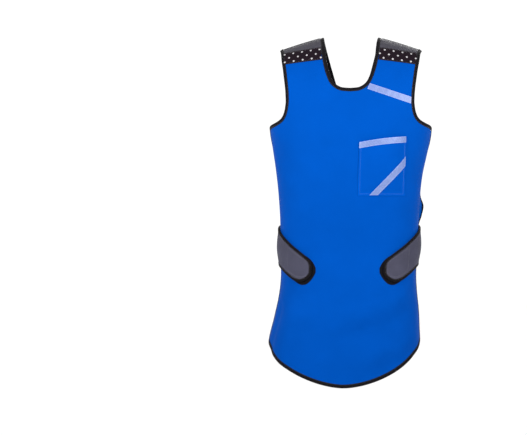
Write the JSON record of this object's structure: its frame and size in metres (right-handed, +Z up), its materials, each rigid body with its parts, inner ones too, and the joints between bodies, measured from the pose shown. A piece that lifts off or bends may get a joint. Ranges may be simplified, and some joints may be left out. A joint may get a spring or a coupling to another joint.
{
  "type": "lead apron",
  "caption": "Wrap-round radiation protection apron: shielded front panel, padded yoke straps and a stretch waist belt with hook-and-loop ends.",
  "frame": {"origin": "midway between the shoulders, level with the inner ends of the shoulder line, where the yokes rest on the wearer or on a hanger", "axes": "+X across the wearer towards the pocket side, front facing -Y, +Z up"},
  "size_m": [0.468, 0.2423, 1.006],
  "materials": {
    "blue_cover": "coated woven nylon, soft satin",
    "lead_vinyl": "smooth filled vinyl",
    "lining": "coated lining cloth",
    "black_binding": "ribbed binding tape",
    "grey_fabric": "heavy woven stretch webbing",
    "foam": "open-cell padding foam",
    "dotted_webbing": "woven webbing with pale dots",
    "hook_and_loop": "napped loop pile",
    "reflective_tape": "glass-bead reflective tape"
  },
  "bodies": {
    "apron": {"outer_cover": "blue_cover", "shield_sheet_outer": "lead_vinyl", "shield_sheet_inner": "lead_vinyl", "inner_lining": "lining", "perimeter_binding": "black_binding", "neck_binding": "black_binding", "left_shoulder_yoke": "grey_fabric", "right_shoulder_yoke": "grey_fabric", "left_shoulder_foam": "foam", "right_shoulder_foam": "foam", "left_yoke_lining": "lining", "right_yoke_lining": "lining", "left_dot_band": "dotted_webbing", "right_dot_band": "dotted_webbing", "left_shoulder_seam": "black_binding", "right_shoulder_seam": "black_binding", "left_strap_binding": "black_binding", "right_strap_binding": "black_binding", "back_panel": "grey_fabric", "back_belt": "grey_fabric", "back_belt_binding": "black_binding", "left_loop_pad": "hook_and_loop", "right_loop_pad": "hook_and_loop", "pocket_panel": "blue_cover", "pocket_tape": "reflective_tape", "diagonal_tape": "reflective_tape", "chest_tape": "reflective_tape"},
    "left_belt_side": {"left_belt_side": "grey_fabric", "left_belt_side_binding": "black_binding"},
    "left_belt_tip": {"left_belt_tip": "grey_fabric", "left_belt_tip_binding": "black_binding", "left_hook_pad": "hook_and_loop"},
    "right_belt_side": {"right_belt_side": "grey_fabric", "right_belt_side_binding": "black_binding"},
    "right_belt_tip": {"right_belt_tip": "grey_fabric", "right_belt_tip_binding": "black_binding", "right_hook_pad": "hook_and_loop"}
  },
  "joints": [
    {"name": "left_belt_open", "type": "hinge", "parent": "apron", "child": "left_belt_side", "pos_m": [-0.2096, 0.0199, -0.594], "axis": [0, 0, -1], "range_deg": [0, 110]},
    {"name": "left_tip_open", "type": "hinge", "parent": "left_belt_side", "child": "left_belt_tip", "pos_m": [-0.1884, -0.0651, -0.629], "axis": [0, 0, -1], "range_deg": [0, 60]},
    {"name": "right_belt_open", "type": "hinge", "parent": "apron", "child": "right_belt_side", "pos_m": [0.1984, 0.0199, -0.594], "axis": [0, 0, 1], "range_deg": [0, 110]},
    {"name": "right_tip_open", "type": "hinge", "parent": "right_belt_side", "child": "right_belt_tip", "pos_m": [0.1752, -0.0651, -0.629], "axis": [0, 0, 1], "range_deg": [0, 60]}
  ]
}
